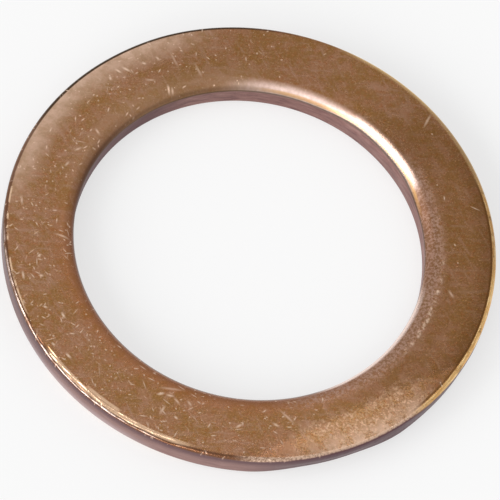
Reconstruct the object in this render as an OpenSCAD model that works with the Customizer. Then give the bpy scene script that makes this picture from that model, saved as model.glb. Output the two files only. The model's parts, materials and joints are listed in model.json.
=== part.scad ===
// Copper crush washer: a flat sealing ring stamped from soft copper sheet.
// It lies on its lower face, with +Z along the bore and the origin at the bore's centre
// in the plane of that face. Stamping leaves each edge with its own shape: the punch draws
// the sheet down round the bore, the die draws it up round the rim, and the two edges
// opposite, where the metal tears off, keep only a small radius.

/* [Ring] */
// Diameter of the bore, a clearance fit over the screw
bore_d = 14.2; // [6:0.1:17]
// Outside diameter
outer_d = 19.9; // [17:0.1:40]
// Thickness between the two sealing faces
thickness = 1.3; // [0.8:0.05:3]

/* [Stamped edges] */
// Width of the die roll round the bore, across the upper face
bore_roll_w = 0.5; // [0.3:0.05:0.9]
// Depth of the die roll round the bore, down the bore's wall
bore_roll_h = 0.4; // [0.15:0.05:0.5]
// Width of the die roll round the rim, across the lower face
rim_roll_w = 0.45; // [0.3:0.05:0.9]
// Depth of the die roll round the rim, up the rim's wall
rim_roll_h = 0.35; // [0.15:0.05:0.5]
// Radius of the two torn edges: the rim's upper edge and the bore's lower edge
torn_edge_r = 0.15; // [0.05:0.01:0.25]

/* [Hidden] */
$fn = 180;

// Distance that a cut reaches past the face it opens
overshoot = 0.2;

bore_r = bore_d / 2;
outer_r = outer_d / 2;
ring_w = outer_r - bore_r;

// An edge takes at most this share of the ring's width and of its thickness
edge_share = 0.45;
most_w = edge_share * ring_w;
most_h = edge_share * thickness;

// The waste at a corner whose face runs along +X and whose wall runs along -Y, both from the
// origin. One arc joins the face at distance w to the wall at depth h. It is tangent to the
// longer of the two and meets the other in a soft edge.
module corner_waste(w, h) {
    arc_w = min(w, most_w);
    arc_h = min(h, most_h);
    arc_r = (arc_w * arc_w + arc_h * arc_h) / (2 * min(arc_w, arc_h));
    centre = arc_h <= arc_w ? [arc_w, -arc_r] : [arc_r, -arc_h];
    difference() {
        translate([-overshoot, -arc_h])
            square([arc_w + overshoot, arc_h + overshoot]);
        translate(centre)
            circle(arc_r);
    }
}

// One half of the ring's section, to the right of the axis
module section() {
    difference() {
        translate([bore_r, 0])
            square([ring_w, thickness]);
        translate([bore_r, thickness])
            corner_waste(bore_roll_w, bore_roll_h);
        translate([outer_r, 0])
            rotate(180)
                corner_waste(rim_roll_w, rim_roll_h);
        translate([outer_r, thickness])
            mirror([1, 0])
                corner_waste(torn_edge_r, torn_edge_r);
        translate([bore_r, 0])
            mirror([0, 1])
                corner_waste(torn_edge_r, torn_edge_r);
    }
}

module washer() {
    color("#a8744c")
        rotate_extrude()
            section();
}

washer();
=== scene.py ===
"""Copper crush washer: the looks of the stamped ring, with its stage, light and camera."""
import json
import math

import bmesh
import bpy
from mathutils import Euler, Matrix, Vector


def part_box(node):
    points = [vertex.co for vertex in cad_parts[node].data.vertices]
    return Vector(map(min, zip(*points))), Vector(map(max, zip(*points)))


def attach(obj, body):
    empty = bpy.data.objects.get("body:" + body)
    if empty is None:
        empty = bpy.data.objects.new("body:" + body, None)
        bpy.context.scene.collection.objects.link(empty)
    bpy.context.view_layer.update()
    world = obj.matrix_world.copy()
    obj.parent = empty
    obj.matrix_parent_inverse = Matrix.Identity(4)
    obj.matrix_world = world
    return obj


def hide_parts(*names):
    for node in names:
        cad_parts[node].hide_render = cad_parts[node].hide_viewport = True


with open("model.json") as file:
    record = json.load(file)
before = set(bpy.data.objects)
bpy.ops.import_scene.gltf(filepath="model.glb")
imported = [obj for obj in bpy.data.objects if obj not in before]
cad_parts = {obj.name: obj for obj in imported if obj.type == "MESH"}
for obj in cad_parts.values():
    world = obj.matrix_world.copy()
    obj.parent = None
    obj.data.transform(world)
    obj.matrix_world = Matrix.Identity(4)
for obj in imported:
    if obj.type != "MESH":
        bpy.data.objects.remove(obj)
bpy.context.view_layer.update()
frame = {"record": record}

# Sizes of the ring, in metres

MM = 0.001
_, ring_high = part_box("washer")
mounts = {mount["name"]: mount for mount in frame["record"]["mounts"]}
OUTER_R = ring_high.x
BORE_R = mounts["bore"]["dims"]["r_mm"] * MM
THICKNESS = ring_high.z
RING_W = OUTER_R - BORE_R

# Stamped edges, as in the solid
BORE_ROLL_W = 0.5 * MM
BORE_ROLL_H = 0.4 * MM
RIM_ROLL_W = 0.45 * MM
RIM_ROLL_H = 0.35 * MM
TORN_EDGE_R = 0.15 * MM

# How round a corner is drawn: 0.5 is a true arc, less is closer to a straight bevel
ROUND = 0.5
BURNISHED = 0.42

# The margin of the upper face that takes the knocks, which is meshed finely
MARGIN_W = 0.65 * MM

# How deep the wear goes, and the height at which it ends where it doesn't reach the foot
WORN_BORE_DEPTH = 0.1 * MM
FRONT_ROLL_DEPTH = 0.12 * MM
TUCK_DEPTH = 0.08 * MM
SLOPE_DEPTH = 0.06 * MM
LONG_BRUISE_DEPTH = 0.1 * MM
LEFT_BRUISE_DEPTH = 0.07 * MM
INNER_BRUISE_DEPTH = 0.05 * MM
NICK_DEPTH = 0.06 * MM
WEAR_FOOT = THICKNESS / 3

# How fast the ribs of a bruise follow each other, in radians a millimetre
RIB_TURN = 60

# The bend at the front right: its bearing, its distance from the axis and how far it drops the rim
FOLD_BEARING = 312
FOLD_AT = 8.45 * MM
FOLD_DROP = 0.13 * MM

# The slope beyond the bend's line, in mm: the stretch over which it starts, how it eases off, and
# the fall that counts as the whole drop
FOLD_START = 0.3
FOLD_EASE = 0.3
FOLD_SUM = 0.92

# Mesh steps and cuts
TURN_STEPS = 720
ROLL_STEPS = 14
TORN_STEPS = 8
FACE_CUTS = 13
MARGIN_CUTS = 19
UNDERSIDE_CUTS = 12
WALL_CUTS = 7
MERGE = 0.001 * MM
NEAR = 0.002 * MM


# Modelling helpers

def start_edit(piece):
    bpy.ops.object.select_all(action="DESELECT")
    piece.select_set(True)
    bpy.context.view_layer.objects.active = piece
    bpy.ops.object.mode_set(mode="EDIT")
    bpy.ops.mesh.select_mode(type="VERT")


def end_edit():
    bpy.ops.object.mode_set(mode="OBJECT")


def pick(piece, chosen):
    """Selects the vertices whose place passes the test, and the edges between them."""
    bpy.ops.mesh.select_all(action="DESELECT")
    shape = bmesh.from_edit_mesh(piece.data)
    for vertex in shape.verts:
        vertex.select = chosen(vertex.co)
    shape.select_flush(True)
    bmesh.update_edit_mesh(piece.data)


def at(value, place):
    return abs(value - place) < NEAR


def round_corner(piece, corner, width, height, steps, profile):
    """Rounds one corner of the section: width along the face, height along the wall."""
    corner_x, corner_z = corner
    pick(piece, lambda co: at(co.x, corner_x) and at(co.z, corner_z))
    bpy.ops.mesh.bevel(
        affect="VERTICES", offset=width, segments=steps, profile=profile, clamp_overlap=False
    )
    bpy.ops.transform.resize(
        value=(1, 1, height / width), center_override=(corner_x, 0, corner_z)
    )


def cut_edge(piece, chosen, cuts):
    pick(piece, chosen)
    bpy.ops.mesh.subdivide(number_cuts=cuts)


def model_washer():
    """The section is drawn from a plane, its corners are rounded, and it is turned once round."""
    bpy.ops.object.select_all(action="DESELECT")
    bpy.ops.mesh.primitive_plane_add(
        size=1,
        location=(BORE_R + RING_W / 2, 0, THICKNESS / 2),
        rotation=(math.pi / 2, 0, 0),
    )
    piece = bpy.context.object
    piece.name = "stamped_ring"
    piece.scale = (RING_W, THICKNESS, 1)
    bpy.ops.object.transform_apply(location=True, rotation=True, scale=True)

    start_edit(piece)
    round_corner(piece, (BORE_R, THICKNESS), BORE_ROLL_W, BORE_ROLL_H, ROLL_STEPS, BURNISHED)
    round_corner(piece, (OUTER_R, 0), RIM_ROLL_W, RIM_ROLL_H, ROLL_STEPS, ROUND)
    round_corner(piece, (OUTER_R, THICKNESS), TORN_EDGE_R, TORN_EDGE_R, TORN_STEPS, ROUND)
    round_corner(piece, (BORE_R, 0), TORN_EDGE_R, TORN_EDGE_R, TORN_STEPS, ROUND)
    bpy.ops.mesh.select_all(action="SELECT")
    bpy.ops.mesh.delete(type="ONLY_FACE")

    # The upper face is split at its outer margin, and every straight stretch is divided
    face_in = BORE_R + BORE_ROLL_W
    face_out = OUTER_R - TORN_EDGE_R
    margin_in = OUTER_R - MARGIN_W
    cut_edge(piece, lambda co: at(co.z, THICKNESS), 1)
    middle = (face_in + face_out) / 2
    pick(piece, lambda co: at(co.z, THICKNESS) and at(co.x, middle))
    bpy.ops.transform.translate(value=(margin_in - middle, 0, 0))
    cut_edge(piece, lambda co: at(co.z, THICKNESS) and co.x < margin_in + NEAR, FACE_CUTS)
    cut_edge(piece, lambda co: at(co.z, THICKNESS) and co.x > margin_in - NEAR, MARGIN_CUTS)
    cut_edge(piece, lambda co: at(co.z, 0), UNDERSIDE_CUTS)
    cut_edge(piece, lambda co: at(co.x, OUTER_R), WALL_CUTS)
    cut_edge(piece, lambda co: at(co.x, BORE_R), WALL_CUTS)
    end_edit()

    turn = piece.modifiers.new("turn", "SCREW")
    turn.axis = "Z"
    turn.angle = 2 * math.pi
    turn.steps = turn.render_steps = TURN_STEPS
    turn.use_merge_vertices = True
    turn.merge_threshold = MERGE
    bpy.ops.object.modifier_apply(modifier=turn.name)
    start_edit(piece)
    bpy.ops.mesh.select_all(action="SELECT")
    bpy.ops.mesh.remove_doubles(threshold=MERGE)
    bpy.ops.mesh.normals_make_consistent(inside=False)
    end_edit()
    bpy.ops.object.shade_smooth()
    return piece


# Wear, pressed into the mesh; bearings run from +X towards +Y, in degrees, other places are in mm

def soft_step(value, low, high):
    """0 below low, 1 above high, with a soft step between."""
    share = min(max((value - low) / (high - low), 0), 1)
    return share * share * (3 - 2 * share)


def soft_band(value, low, high, soft):
    """1 between low and high, falling to 0 over the soft stretch on each side."""
    return soft_step(value, low - soft, low) * (1 - soft_step(value, high, high + soft))


def inset_of(radius):
    """How far in from the rim."""
    return (OUTER_R - radius) / MM


def near_rim(radius, full, none):
    """1 below the inset full, falling to 0 at the inset none."""
    return 1 - soft_step(inset_of(radius), full, none)


def press(piece, name, depth, share, direction="Z", lowest=WEAR_FOOT):
    """Presses the piece in by a share of the depth, given by radius, bearing and height."""
    group = piece.vertex_groups.new(name=name)
    for vertex in piece.data.vertices:
        if vertex.co.z > lowest:
            radius = math.hypot(vertex.co.x, vertex.co.y)
            bearing = math.degrees(math.atan2(vertex.co.y, vertex.co.x)) % 360
            weight = share(radius, bearing, vertex.co.z)
            if weight > 0:
                group.add([vertex.index], weight, "REPLACE")
    dent = piece.modifiers.new(name, "DISPLACE")
    dent.direction = direction
    dent.mid_level = 0
    dent.strength = -depth
    dent.vertex_group = group.name
    bpy.ops.object.modifier_apply(modifier=dent.name)


def rim_flat(first, last, inner, outer):
    """An uneven ribbed bruise along the rim between two bearings, sloping out between two insets."""
    def share(radius, bearing, height):
        inset = inset_of(radius)
        wander = 0.03 * math.sin(bearing * 0.31) + 0.02 * math.sin(bearing * 1.13 + 2)
        slope = min(max((inner + wander - inset) / (inner - outer), 0), 1)
        ribs = 0.16 * math.sin(inset * RIB_TURN + 2.5 * math.sin(bearing * 0.23))
        lip = 0.45 * soft_step(outer - inset, 0, 0.05)
        patchy = 0.75 + 0.25 * math.sin(bearing * 0.9) * math.sin(bearing * 0.37 + 1)
        depth = slope + ribs * slope * (1 - slope) * 4 - lip
        return soft_band(bearing, first, last, 3.5) * patchy * min(max(depth, 0), 1)
    return share


def inner_flat(first, last, inner, outer):
    """A bruise that ends in a step on its outer side, away from the rim."""
    def share(radius, bearing, height):
        inset = inset_of(radius)
        slope = min(max((inner - inset) / (inner - outer), 0), 1)
        return soft_band(bearing, first, last, 2) * slope * soft_step(inset, outer - 0.04, outer)
    return share


def front_fold(radius, bearing, height):
    """The sheet is bent down beyond a straight line across the front right, steepest beside it."""
    beyond = (radius * math.cos(math.radians(bearing - FOLD_BEARING)) - FOLD_AT) / MM
    start = min(max(beyond, 0), FOLD_START)
    rest = max(beyond - FOLD_START, 0)
    drop = start * start / (2 * FOLD_START) + rest - FOLD_EASE * rest * rest
    squeeze = (height - WEAR_FOOT) / (THICKNESS - WEAR_FOOT)
    return min(drop / FOLD_SUM, 1) * squeeze


def front_roll(radius, bearing, height):
    """The roll under the rim is deeper at the front right, where the edge looks thinner."""
    below = 1 - soft_step(height / MM, 0.3, 0.9)
    return soft_band(bearing, 297, 307, 15) * near_rim(radius, 0.25, 0.65) * below


def rim_tuck(radius, bearing, height):
    """On the right the wall is drawn in below its upper edge."""
    aside = (bearing + 180) % 360 - 180
    below = 1 - soft_step(height / MM, 0.45, 0.9)
    return soft_band(aside, -30, 22, 16) * near_rim(radius, 0.2, 0.65) * below


def back_slope(radius, bearing, height):
    """The sheet falls away towards the rim at the back left."""
    return soft_band(bearing, 138, 166, 16) * near_rim(radius, -0.25, 1.35)


def rim_nick(radius, bearing, height):
    return soft_band(bearing, 345.8, 346.8, 0.6) * near_rim(radius, 0.07, 0.22)


def worn_bore(radius, bearing, height):
    """The bore's rolled edge is worn wider at the back right."""
    offset = (radius - BORE_R) / MM
    depth = (THICKNESS - height) / MM
    across = (1 - soft_step(offset, 0.1, 0.75)) * (1 - soft_step(depth, 0.3, 0.75))
    return soft_band(bearing, 44, 64, 18) * across


def wear_washer(piece):
    press(piece, "worn_bore", WORN_BORE_DEPTH, worn_bore, "NORMAL")
    press(piece, "front_fold", FOLD_DROP, front_fold)
    press(piece, "front_roll", FRONT_ROLL_DEPTH, front_roll, "NORMAL", -NEAR)
    press(piece, "rim_tuck", TUCK_DEPTH, rim_tuck, "X", -NEAR)
    press(piece, "back_slope", SLOPE_DEPTH, back_slope)
    press(piece, "bruise_long", LONG_BRUISE_DEPTH, rim_flat(230, 264, 0.26, 0.09))
    press(piece, "bruise_left", LEFT_BRUISE_DEPTH, rim_flat(221, 227, 0.22, 0.09))
    press(piece, "bruise_inner", INNER_BRUISE_DEPTH, inner_flat(242, 249, 0.4, 0.26))
    press(piece, "rim_nick", NICK_DEPTH, rim_nick)


# Shader maths

class Wire:
    """A socket of a node tree. Arithmetic on wires adds Math nodes."""

    def __init__(self, recipe, socket):
        self.recipe = recipe
        self.socket = socket

    def math(self, operation, *values):
        sockets = dict(enumerate(values))
        return self.recipe.node("ShaderNodeMath", {"operation": operation}, sockets)

    def __add__(self, other):
        return self.math("ADD", self, other)

    def __radd__(self, other):
        return self.math("ADD", other, self)

    def __sub__(self, other):
        return self.math("SUBTRACT", self, other)

    def __rsub__(self, other):
        return self.math("SUBTRACT", other, self)

    def __mul__(self, other):
        return self.math("MULTIPLY", self, other)

    def __truediv__(self, other):
        return self.math("DIVIDE", self, other)

    def __lt__(self, other):
        return self.math("LESS_THAN", self, other)

    def __abs__(self):
        return self.math("ABSOLUTE", self)

    def power(self, exponent):
        return self.math("POWER", self, exponent)

    def most(self, other):
        return self.math("MAXIMUM", self, other)

    def smooth(self, low, high):
        """0 below low, 1 above high, with a soft step between."""
        return self.recipe.node(
            "ShaderNodeMapRange",
            {"interpolation_type": "SMOOTHSTEP"},
            {"Value": self, "From Min": low, "From Max": high},
        )

    def fade(self, low, high):
        """1 below low, 0 above high, with a soft step between."""
        return 1 - self.smooth(low, high)

    def parts(self):
        """The three numbers of a vector or colour."""
        return [
            self.recipe.node("ShaderNodeSeparateXYZ", {}, {"Vector": self}, output)
            for output in "XYZ"
        ]


class Recipe:
    """The node tree of a material or of the world."""

    def __init__(self, owner):
        owner.use_nodes = True
        self.tree = owner.node_tree
        self.tree.nodes.clear()

    def node(self, kind, settings, sockets, output=0):
        """Adds a node, with its settings and the values or wires of its sockets."""
        made = self.tree.nodes.new(kind)
        for name, value in settings.items():
            setattr(made, name, value)
        for name, value in sockets.items():
            if isinstance(value, Wire):
                self.tree.links.new(value.socket, made.inputs[name])
            else:
                made.inputs[name].default_value = value
        return Wire(self, made.outputs[output] if made.outputs else None)

    def place(self):
        """Object coordinates in millimetres."""
        metres = self.node("ShaderNodeTexCoord", {}, {}, "Object")
        return self.node(
            "ShaderNodeVectorMath", {"operation": "SCALE"}, {0: metres, "Scale": 1 / MM}
        )

    def mix(self, factor, first, second, blend="MIX"):
        """One colour mixed into another."""
        return self.node(
            "ShaderNodeMix",
            {"data_type": "RGBA", "blend_type": blend},
            {"Factor": factor, 6: first, 7: second},
            2,
        )

    def noise(self, place, scale, detail=2.0, roughness=0.5):
        return self.node(
            "ShaderNodeTexNoise",
            {},
            {"Vector": place, "Scale": scale, "Detail": detail, "Roughness": roughness},
        )


def linear(red, green, blue):
    """A colour given in 8-bit display values, as the linear colour a socket takes."""
    def decode(level):
        share = level / 255
        return share / 12.92 if share <= 0.04045 else ((share + 0.055) / 1.055) ** 2.4
    return (decode(red), decode(green), decode(blue), 1.0)


# Finish of the copper

OLIVE_COPPER = linear(160, 114, 62)
PINK_COPPER = linear(178, 128, 98)
BROWN_COPPER = linear(142, 96, 56)
RED_COPPER = linear(172, 106, 62)
SATIN_COPPER = linear(230, 192, 158)
SHEEN = linear(236, 200, 174)
HAZE = linear(176, 142, 110)
SMEAR = linear(200, 160, 140)
DIM = linear(222, 217, 206)
GOLD_EDGE = linear(228, 176, 108)
PALE_GOLD = linear(252, 216, 158)
GOLD_SHADE = linear(104, 66, 26)
PALE_EDGE = linear(248, 208, 172)
# Painted glint: pale lips along edges
LIP_GLINT = linear(252, 228, 216)
# Painted highlight: the near-white colour of the bore's burnished edge
BURNISH_AND_HIGHLIGHT = linear(246, 222, 214)
# Pale marks: bared metal, with their glints painted in
SCRATCH_AND_GLINT = linear(252, 220, 194)
# Dark brown: tarnish in some places, painted shade in others
TARNISH_AND_SHADE = linear(108, 68, 46)
# Painted shade: dark lines along edges
PAINTED_EDGE_SHADE = linear(76, 54, 34)
# Dark streaks on the walls, also used as painted shade
SHEARED_STREAK_AND_SHADE = linear(98, 66, 72)
SHEARED = linear(152, 116, 110)
SHEARED_LIGHT = linear(176, 142, 136)
# Painted reflection: pale foot of the rim wall
PAINTED_FOOT_REFLECTION = linear(222, 204, 206)

# Where the arc along the rim starts and ends
SEAM_BEARING = 75

# Half the width of a scratch, and how much longer it is drawn because its ends fade
SCRATCH_W = 0.075
SCRATCH_FADE = 1.4

# Scratches that stand out: radius and bearing of the middle, turn from the radius, half length
# and strength
SCRATCHES = (
    # Back
    (9.4, 52.5, 25, 0.35, 0.45),
    (8.0, 118.5, 10, 0.35, 0.4),
    (8.7, 124, 5, 0.4, 0.35),
    # Back left
    (9.0, 128, 20, 0.1, 0.7),
    (9.0, 132, 45, 0.1, 0.9),
    (9.1, 137, 25, 0.2, 1.0),
    (9.2, 139, 20, 0.15, 1.0),
    (9.1, 142, 155, 0.1, 0.9),
    (8.2, 133, 60, 0.2, 0.5),
    (7.4, 128.5, 165, 0.15, 0.7),
    (7.5, 129.5, 165, 0.2, 1.0),
    (7.1, 145, 130, 0.15, 0.9),
    # Left
    (7.7, 157, 160, 0.15, 0.7),
    (7.9, 165.5, 55, 0.15, 0.6),
    (8.0, 171.5, 75, 0.15, 0.6),
    (9.3, 186, 100, 0.2, 0.6),
    (7.6, 196, 160, 0.3, 0.6),
    (8.6, 202, 40, 0.1, 0.9),
    (9.4, 207, 85, 0.2, 0.8),
    (8.7, 208, 155, 0.1, 0.8),
    # Front left
    (9.0, 217, 130, 0.1, 0.8),
    (8.5, 221, 90, 0.15, 0.9),
    (9.5, 227, 105, 0.1, 0.8),
    (9.3, 231.5, 95, 0.15, 0.9),
    # Front
    (8.1, 256.5, 130, 0.15, 0.9),
    (7.7, 258.5, 110, 0.45, 0.45),
    (8.0, 259, 105, 0.15, 0.8),
    (8.7, 259, 175, 0.2, 0.7),
    (8.1, 261.5, 60, 0.15, 0.6),
    (8.8, 263, 65, 0.1, 0.8),
    (8.0, 265, 55, 0.15, 0.6),
    (8.5, 279.5, 130, 0.15, 0.7),
    (8.4, 289.5, 55, 0.15, 0.7),
    (8.1, 293, 35, 0.4, 0.5),
    # Right
    (7.8, 348.5, 80, 0.1, 0.6),
    (8.3, 359, 135, 0.2, 0.5),
)


class Copper(Recipe):
    """A colour that is painted on in layers, and maps over the ring in millimetres to paint by."""

    def __init__(self, owner, colour):
        super().__init__(owner)
        self.colour = colour
        self.at = self.place()
        self.x, self.y, self.z = self.at.parts()
        self.radius = (self.x * self.x + self.y * self.y).power(0.5)
        self.inset = OUTER_R / MM - self.radius
        self.offset = self.radius - BORE_R / MM
        self.depth = THICKNESS / MM - self.z
        front = math.radians(SEAM_BEARING + 180)
        ahead = self.x * math.cos(front) + self.y * math.sin(front)
        aside = self.y * math.cos(front) - self.x * math.sin(front)
        self.arc = aside.math("ARCTAN2", aside, ahead) * (OUTER_R / MM)

        # Noises that several layers use: four over the ring, and two along the rim
        self.small = self.noise(self.at, 2.2, 4.0, 0.65)
        self.fleck = self.noise(self.at, 6.0, 3.0, 0.6)
        self.glitter = self.noise(self.at, 9.5, 3.0, 0.7)
        self.grain = self.noise(self.at, 13.0, 2.0, 0.6)
        self.lines = self.round_streaks(0.6, 0.04)
        self.beads = self.round_streaks(0.5, 0.4)

    def paint(self, mask, colour, blend="MIX"):
        self.colour = self.mix(mask, self.colour, colour, blend)

    def straight_streaks(self, turn, size):
        """Noise in patches of a size, turned about the axis."""
        turned = self.node(
            "ShaderNodeMapping",
            {"vector_type": "TEXTURE"},
            {"Vector": self.at, "Rotation": (0, 0, math.radians(turn)), "Scale": size},
        )
        return self.noise(turned, 1.0, 3.0, 0.6)

    def round_streaks(self, length, width):
        """Noise in patches that follow the rim."""
        place = {"X": self.arc / length, "Y": self.inset / width, "Z": self.depth / width}
        return self.noise(self.node("ShaderNodeCombineXYZ", {}, place), 1.0, 3.0, 0.6)

    def stripe(self, inset, half):
        """A thin line all round, at an inset from the rim."""
        return abs(self.inset - inset).fade(half * 0.4, half)

    def sector(self, bearing, half, soft):
        """1 within half degrees of a bearing, falling to 0 over the soft degrees beyond."""
        angle = math.radians(bearing)
        along = (self.x * math.cos(angle) + self.y * math.sin(angle)) / self.radius
        return along.smooth(math.cos(math.radians(half + soft)), math.cos(math.radians(half)))

    def line(self, across_x, across_y, turn_x, turn_y, length, width):
        """A straight mark round a point, running along the direction given by the turn."""
        along = abs(across_x * turn_x + across_y * turn_y)
        aside = abs(across_y * turn_x - across_x * turn_y)
        return aside.fade(0, width) * along.fade(0, length)

    def scratch(self, radius, bearing, turn, length, strength):
        """One scratch at its own place."""
        angle = math.radians(bearing)
        turned = math.radians(bearing + turn)
        mark = self.line(
            self.x - radius * math.cos(angle),
            self.y - radius * math.sin(angle),
            math.cos(turned),
            math.sin(turned),
            length * SCRATCH_FADE,
            SCRATCH_W,
        )
        return mark * strength

    def scuffs(self, cell, shift, length, width, share):
        """Straight scuffs in a share of the cells, each with its own turn, length and strength."""
        flat = self.node(
            "ShaderNodeCombineXYZ", {}, {"X": self.x + shift, "Y": self.y + shift}
        )
        cells = {"Vector": flat, "Scale": 1 / cell}
        kind = {"voronoi_dimensions": "2D"}
        middle = self.node("ShaderNodeTexVoronoi", kind, cells, "Position")
        chance = self.node("ShaderNodeTexVoronoi", kind, cells, "Color")
        middle_x, middle_y, _ = middle.parts()
        spin, luck, size = chance.parts()
        turn = spin * math.pi
        mark = self.line(
            self.x + shift - middle_x,
            self.y + shift - middle_y,
            turn.math("COSINE", turn),
            turn.math("SINE", turn),
            length * 0.3 + size * (length * 0.7),
            width,
        )
        strength = 1 - luck / share
        return mark * strength.smooth(0.0, 0.8) * (luck < share)


def paint_oxide(copper):
    """Blotches of olive and pink, with red flecks and a fine grain, over the whole ring."""
    broad = copper.noise(copper.at, 0.6)
    blotches = (broad * 0.35 + copper.small * 0.65).smooth(0.4, 0.6)
    copper.paint(blotches * 0.8, PINK_COPPER)
    copper.paint(copper.fleck.smooth(0.5, 0.66) * 0.5, RED_COPPER)
    copper.paint(copper.fleck.fade(0.34, 0.5) * 0.25, PINK_COPPER)
    copper.paint(copper.grain.smooth(0.5, 0.75) * 0.3, SATIN_COPPER)
    copper.paint(copper.grain.fade(0.3, 0.5) * 0.35, BROWN_COPPER)


def paint_smears(copper):
    """Faint smears, wiped in two directions."""
    smears = copper.straight_streaks(15, (1.2, 0.22, 1)).smooth(0.52, 0.72)
    cross_smears = copper.straight_streaks(-50, (0.9, 0.18, 1)).smooth(0.54, 0.72)
    copper.paint(smears.most(cross_smears) * 0.35, SMEAR)


def paint_shades(copper):
    """Dimmer at the back and on the right, redder beside the front of the bore."""
    copper.paint(copper.sector(8, 34, 30), DIM, "MULTIPLY")
    copper.paint(copper.sector(88, 36, 20) * 0.45, DIM, "MULTIPLY")
    copper.paint(copper.inset.fade(0.2, 1.1) * copper.sector(2, 30, 16), DIM, "MULTIPLY")
    beside_bore = copper.offset.fade(0.2, 1.2)
    copper.paint(beside_bore * copper.sector(255, 45, 35) * 0.6, RED_COPPER)


def paint_satin_and_sheen(copper):
    """Pale patches: a grainy one on the front fold, satin wear rubbed pale with a painted highlight
    over it, a smooth painted sheen at the back left, and a darker one at the left end of the fold.
    """
    cloud = 0.3 + copper.small.smooth(0.35, 0.65) * 0.8
    mottle = 0.55 + copper.small.smooth(0.3, 0.7) * 0.4
    front = copper.sector(FOLD_BEARING, 4, 18) * copper.inset.fade(1.05, 1.85) * cloud
    grainy_glow = front * (0.1 + copper.glitter.smooth(0.48, 0.62))
    back_sheen = copper.sector(150, 14, 28) * copper.inset.fade(0.1, 1.4) * mottle
    margin = copper.inset.fade(0.1, 0.9)
    # Painted highlight: the grainy pale glow on the front fold, over satin wear
    copper.paint(grainy_glow, SATIN_COPPER)
    # Painted highlight: a pinkish sheen along the rim of the front fold
    copper.paint(front * margin * 0.6, SHEEN)
    # Painted sheen: the smooth pale patch at the back left
    copper.paint(back_sheen, SHEEN)
    copper.paint(copper.sector(292, 6, 8) * margin * 0.3, TARNISH_AND_SHADE)
    return grainy_glow.most(back_sheen)


def paint_bore_sides(copper):
    """Pinkish flecks beside the right of the bore, and a greyer haze beside its back left."""
    flecked = copper.offset.fade(0.4, 1.0) * copper.sector(350, 45, 18)
    hazy = copper.offset.fade(0.3, 1.4) * copper.sector(138, 22, 26)
    copper.paint(flecked * (0.15 + copper.glitter.smooth(0.44, 0.58) * 0.75), SMEAR)
    copper.paint(hazy * (0.1 + copper.small * 0.6), HAZE)


def paint_bore_roll(copper):
    """The bore's rolled edge: burnished at the back right and painted near white there as a painted
    highlight, where it ends in a dull patch; darkened round the front and left as painted shade;
    a painted pale reflection along the lip at the near right, and a painted gold fringe of the
    highlight at its foot at the back.
    """
    roll = copper.offset.fade(0.1, 0.5)
    lip = copper.offset.fade(0.12, 0.24)
    core = copper.offset.fade(0.16, 0.56) * copper.sector(52, 14, 4)
    tail = copper.offset.fade(0.12, 0.48) * copper.sector(72, 14, 30)
    burnish_and_highlight = core.most(tail)
    dull = copper.offset.fade(0.2, 0.7) * copper.sector(18, 12, 9)
    shaded_front_left = copper.sector(235, 65, 35)
    # Painted highlight: the back right of the roll is painted near white where the lamps reflect in
    # it, over burnished metal
    copper.paint(burnish_and_highlight * (0.35 + copper.fleck * 0.9), BURNISH_AND_HIGHLIGHT)
    copper.paint(dull * (0.1 + copper.fleck * 0.4), TARNISH_AND_SHADE)
    # Painted shade: the roll and the bore's brink are darkened round the front and left
    copper.paint(roll * shaded_front_left * 0.4, TARNISH_AND_SHADE)
    copper.paint(copper.offset.fade(0.02, 0.22) * shaded_front_left, TARNISH_AND_SHADE)
    # Painted reflection: a pale line along the lip at the near right
    copper.paint(lip * copper.sector(332, 16, 14), LIP_GLINT)
    # Painted highlight: a gold fringe along the foot of the bright band at the back right
    highlight_fringe = copper.depth.smooth(0.18, 0.24) * copper.depth.fade(0.3, 0.36)
    highlight_fringe = highlight_fringe * copper.offset.fade(0.15, 0.3) * copper.sector(64, 26, 14)
    copper.paint(highlight_fringe * 0.7, GOLD_EDGE)
    return burnish_and_highlight, dull


def paint_walls(copper):
    """Sheared walls, streaked along, with a painted dark line of shade where the bore's wall starts,
    painted shade on the rim wall's upper part, front right and left and on the bore wall's left,
    and a painted reflection lightening the rim wall's foot at the front left.
    """
    rim_wall = copper.inset.fade(0.02, 0.08) * copper.depth.smooth(0.1, 0.18)
    rim_wall = rim_wall.most(copper.inset.fade(0.2, 0.4) * copper.depth.smooth(0.5, 0.7))
    bore_wall = copper.offset.fade(0.16, 0.24) * copper.depth.smooth(0.42, 0.48)
    bore_line = copper.offset.fade(0.2, 0.3) * copper.depth.smooth(0.32, 0.38) * 0.8
    back_line = copper.offset.fade(0.05, 0.18) * copper.sector(125, 45, 15) * 0.4
    wall = rim_wall.most(bore_wall)
    along = copper.round_streaks(0.9, 0.12)
    # Painted shade: dark lines where the bore's wall starts and along the bore's back edge
    copper.paint(bore_line.most(back_line), PAINTED_EDGE_SHADE)
    copper.paint(wall, SHEARED)
    copper.paint(wall * along.smooth(0.5, 0.66) * 0.5, SHEARED_LIGHT)
    copper.paint(wall * along.fade(0.34, 0.48) * 0.4, SHEARED_STREAK_AND_SHADE)
    foot = copper.depth.smooth(0.55, 1.0) * copper.sector(238, 10, 16)
    copper.paint(rim_wall * 0.35, SHEARED_LIGHT)
    # Painted shade: the rim wall darker at its upper part, at the front right and on the left
    copper.paint(rim_wall * copper.depth.fade(0.25, 0.6) * 0.75, SHEARED_STREAK_AND_SHADE)
    copper.paint(rim_wall * copper.sector(318, 16, 24), SHEARED_STREAK_AND_SHADE)
    copper.paint(rim_wall * copper.sector(200, 22, 12) * 0.5, SHEARED_STREAK_AND_SHADE)
    # Painted reflection: the foot of the rim wall lighter at the front left
    copper.paint(rim_wall * foot * 0.5, PAINTED_FOOT_REFLECTION)
    # Painted shade: the bore's wall darker on the left
    copper.paint(bore_wall * copper.sector(165, 25, 20) * 0.7, SHEARED_STREAK_AND_SHADE)
    return wall


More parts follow.
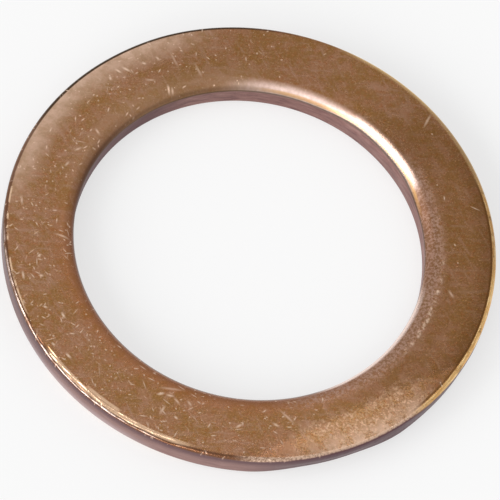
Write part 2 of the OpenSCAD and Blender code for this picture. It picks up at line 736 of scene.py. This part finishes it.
def paint_rim(copper):
    """The rim's upper edge: darkened as painted shade, with painted sheen in pinkish flecks at the
    front right and a painted pale halo in a band at the back right.
    """
    edge = copper.inset.fade(0.12, 0.17) * copper.depth.fade(0.12, 0.2)
    front_sheen_flecks = copper.sector(306, 20, 8) * (0.35 + copper.glitter.smooth(0.42, 0.58))
    pale_halo = copper.inset.fade(0.04, 0.26) * copper.depth.fade(0.12, 0.24)
    # Painted shade: the rim's upper edge darkened from the back round to the front left
    copper.paint(edge * copper.sector(190, 90, 14) * 0.8, TARNISH_AND_SHADE)
    copper.paint(edge * copper.sector(132, 24, 14), PAINTED_EDGE_SHADE)
    # Painted sheen: pinkish flecks on the edge at the front right
    copper.paint(edge * front_sheen_flecks, SHEEN)
    # Painted halo: a pale band along the edge at the back right
    copper.paint(pale_halo * copper.sector(52, 20, 12) * 0.75, PALE_GOLD)


def paint_gold_lip(copper):
    """A gold lip on the right of the rim, beaded, with painted highlight streaks and a painted dark
    line of shade along its inner side.
    """
    right_rim = copper.sector(359, 29, 8)
    gold_edge = copper.inset.fade(0.13, 0.18) * copper.depth.fade(0.14, 0.24)
    gold_lip = gold_edge * right_rim
    # Painted shade: a dark line along the inner side of the gold lip
    copper.paint(copper.stripe(0.21, 0.06) * right_rim * 0.9, GOLD_SHADE)
    copper.paint(gold_lip, GOLD_EDGE)
    # Painted highlight: pale streaks along the gold lip
    copper.paint(gold_lip * copper.lines.smooth(0.48, 0.6), PALE_GOLD)
    copper.paint(gold_edge * copper.sector(30, 14, 16) * 0.35, TARNISH_AND_SHADE)
    copper.paint(gold_lip * copper.beads.fade(0.36, 0.46) * 0.6, GOLD_SHADE)


def paint_lip_glints(copper):
    """A pale broken lip along the front left of the rim and dashes on its left, both painted glints,
    and a dark brink of painted shade.
    """
    lip_glint = copper.stripe(0.05, 0.035) * copper.sector(226, 22, 16)
    dashes = copper.stripe(0.16, 0.05) * copper.sector(198, 15, 6)
    brink = copper.inset.fade(0.0, 0.03) * copper.depth.fade(0.15, 0.35)
    # Painted highlight: a pale broken glint along the lip at the front left
    copper.paint(lip_glint * copper.beads.smooth(0.3, 0.7), LIP_GLINT)
    # Painted highlight: pale glinting dashes along the rim on the left
    copper.paint(dashes * copper.beads.smooth(0.46, 0.54), PALE_EDGE)
    # Painted shade: a dark brink along the rim's edge at the left
    copper.paint(brink * copper.sector(165, 30, 12), PAINTED_EDGE_SHADE)


def paint_bruises(copper):
    """Bare metal where the rim is bruised, painted pale also as the highlight its facets catch."""
    crushed = copper.stripe(0.18, 0.11) * copper.sector(248, 17, 5)
    crushed = crushed * (0.7 + copper.lines.smooth(0.4, 0.58) * 0.3)
    smeared = copper.stripe(0.32, 0.08) * copper.sector(245.5, 3.5, 2)
    # Painted highlight: the bruises' pale colour also stands for the light their facets catch
    copper.paint(crushed.most(smeared * 0.8), PALE_EDGE)


def paint_scuffs(copper):
    """Scuffs, crowded on the left, a row of dots beside the bore and the scratches that stand out,
    all painted pale as bared metal with their glints painted in. The first result is without
    those scratches.
    """
    row = abs(copper.offset - 0.68).fade(0.02, 0.12) * copper.sector(352, 14, 5)
    dots = row * copper.noise(copper.at, 4.2, 3.0, 0.6).smooth(0.5, 0.68)
    left = copper.sector(200, 75, 45)
    crowd = copper.noise(copper.at, 0.9, 1.0).smooth(0.4, 0.62)
    dense = left * (0.25 + crowd * 0.75)
    strokes = copper.scuffs(0.4, 3.1, 0.17, 0.042, 0.02 + dense * 0.7)
    short = copper.scuffs(0.22, 7.7, 0.08, 0.045, 0.01 + dense * 0.24)
    long_marks = copper.scuffs(0.9, 11.3, 0.4, 0.035, 0.005 + dense * 0.4)
    front_left = copper.sector(232, 32, 18) * (0.15 + crowd * 0.45)
    hairs = copper.scuffs(0.42, 5.3, 0.26, 0.034, 0.001 + front_left)
    specks = copper.noise(copper.at, 7.5, 2.0, 0.7).smooth(0.67, 0.77) * (0.1 + dense)
    scratches = copper.scratch(*SCRATCHES[0])
    for mark in SCRATCHES[1:]:
        scratches = scratches.most(copper.scratch(*mark))
    top = copper.depth.fade(0.2, 0.3)
    marks = strokes.most(hairs).most(short) * 0.85
    marks = marks.most(long_marks * 0.6).most(dots.most(specks) * 0.8) * top
    scuffed = marks.most(scratches * top)
    # Painted highlight: the marks are painted pale as bared metal and as their glints
    copper.paint(scuffed, SCRATCH_AND_GLINT)
    return marks, scuffed


def copper_finish():
    material = bpy.data.materials.new("soft_copper")
    copper = Copper(material, OLIVE_COPPER)
    paint_oxide(copper)
    paint_smears(copper)
    paint_shades(copper)
    satin_and_sheen = paint_satin_and_sheen(copper)
    paint_bore_sides(copper)
    burnish_and_highlight, dull = paint_bore_roll(copper)
    wall = paint_walls(copper)
    paint_rim(copper)
    paint_gold_lip(copper)
    paint_lip_glints(copper)
    paint_bruises(copper)
    marks, scuffed = paint_scuffs(copper)

    # The bump leaves out the scratches that stand out: with them the shader is too large to draw
    height = copper.grain * 1.2 + copper.small * 0.8 - marks * 2.0
    normal = copper.node(
        "ShaderNodeBump", {}, {"Strength": 0.35, "Distance": 0.02 * MM, "Height": height}
    )
    left_roll = copper.offset.fade(0.55, 0.9) * copper.sector(130, 45, 20)
    worn = wall * 0.2 + satin_and_sheen * 0.15 + burnish_and_highlight * 0.08 + (dull + left_roll) * 0.25 + scuffed * 0.2
    roughness = 0.22 + copper.small * 0.1 + worn
    shader = copper.node(
        "ShaderNodeBsdfPrincipled",
        {},
        {
            "Base Color": copper.colour,
            "Metallic": 1.0,
            "Roughness": roughness,
            "Normal": normal,
            "Coat Weight": 0.2,
            "Coat Roughness": 0.3,
        },
    )
    copper.node("ShaderNodeOutputMaterial", {}, {"Surface": shader})
    return material


# Stage, light and camera

FLOOR_SIZE = 3.0
FLOOR_DROP = 0.01 * MM
FLOOR_WHITE = (0.86, 0.86, 0.86, 1)
FLOOR_GLOW = 0.6
WHITE = (1, 1, 1, 1)
ROOM_GREY = (0.66, 0.66, 0.66, 1)
LAMP_HEIGHT = 0.3

CAMERA_TILT = math.radians(30.1)
CAMERA_ROLL = math.radians(14.68)
CAMERA_DISTANCE = 218.9 * MM
FOCAL_PIXELS = 5441
PHOTO_PIXELS = 500
RING_CENTRE_PIXEL = (247.1, 254.1)


def lay_floor():
    bpy.ops.object.select_all(action="DESELECT")
    bpy.ops.mesh.primitive_plane_add(size=FLOOR_SIZE, location=(0, 0, -FLOOR_DROP))
    floor = bpy.context.object
    floor.name = "floor"
    bpy.ops.object.transform_apply(location=True)
    material = bpy.data.materials.new("floor_white")
    recipe = Recipe(material)
    paper = recipe.node("ShaderNodeBsdfDiffuse", {}, {"Color": FLOOR_WHITE})
    glow = recipe.node("ShaderNodeEmission", {}, {"Color": WHITE, "Strength": 1.0})
    seen = recipe.node("ShaderNodeLightPath", {}, {}, "Is Camera Ray")
    mirrored = recipe.node("ShaderNodeLightPath", {}, {}, "Is Glossy Ray")
    passed = recipe.node("ShaderNodeLightPath", {}, {}, "Is Transmission Ray")
    share = (seen + mirrored + passed) * FLOOR_GLOW
    shader = recipe.node("ShaderNodeMixShader", {}, {0: share, 1: paper, 2: glow})
    recipe.node("ShaderNodeOutputMaterial", {}, {"Surface": shader})
    floor.data.materials.append(material)


def light_room():
    """An even pale room."""
    bpy.context.scene.world = bpy.data.worlds.new("pale_room")
    recipe = Recipe(bpy.context.scene.world)
    background = recipe.node("ShaderNodeBackground", {}, {"Color": ROOM_GREY, "Strength": 1.0})
    recipe.node("ShaderNodeOutputWorld", {}, {"Surface": background})


def hang_lamp(name, bearing, elevation, spread, strength):
    """A soft round lamp a long way off; bearing runs from +X towards +Y."""
    bpy.ops.object.select_all(action="DESELECT")
    bpy.ops.object.light_add(type="SUN", location=(0, 0, LAMP_HEIGHT))
    lamp = bpy.context.object
    lamp.name = name
    lamp.data.energy = strength
    lamp.data.angle = math.radians(spread)
    flat = math.cos(math.radians(elevation))
    towards = Vector((
        flat * math.cos(math.radians(bearing)),
        flat * math.sin(math.radians(bearing)),
        math.sin(math.radians(elevation)),
    ))
    lamp.rotation_euler = towards.to_track_quat("Z", "Y").to_euler()


def set_camera():
    turn = Euler((CAMERA_TILT, 0, 0)).to_matrix() @ Matrix.Rotation(CAMERA_ROLL, 3, "Z")
    right, up, back = turn.col[0], turn.col[1], turn.col[2]
    metres_per_pixel = CAMERA_DISTANCE / FOCAL_PIXELS
    middle = PHOTO_PIXELS / 2
    aside = (middle - RING_CENTRE_PIXEL[0]) * metres_per_pixel
    below = (middle - RING_CENTRE_PIXEL[1]) * metres_per_pixel
    bpy.ops.object.camera_add()
    camera = bpy.context.object
    camera.matrix_world = turn.to_4x4()
    camera.location = back * CAMERA_DISTANCE + right * aside - up * below
    camera.data.sensor_width = 36
    camera.data.lens = FOCAL_PIXELS * camera.data.sensor_width / PHOTO_PIXELS
    camera.data.clip_start = 1 * MM
    bpy.context.scene.camera = camera


washer = model_washer()
wear_washer(washer)
washer.data.materials.append(copper_finish())
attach(washer, "root")
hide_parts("washer")

lay_floor()
light_room()
hang_lamp("window_left", 205, 29, 34, 1.05)
hang_lamp("window_middle", 232, 26, 32, 0.7)
hang_lamp("window_right", 258, 20, 28, 0.85)
hang_lamp("ceiling", 62, 70.5, 9, 0.06)
set_camera()
bpy.context.scene.view_settings.view_transform = "Standard"
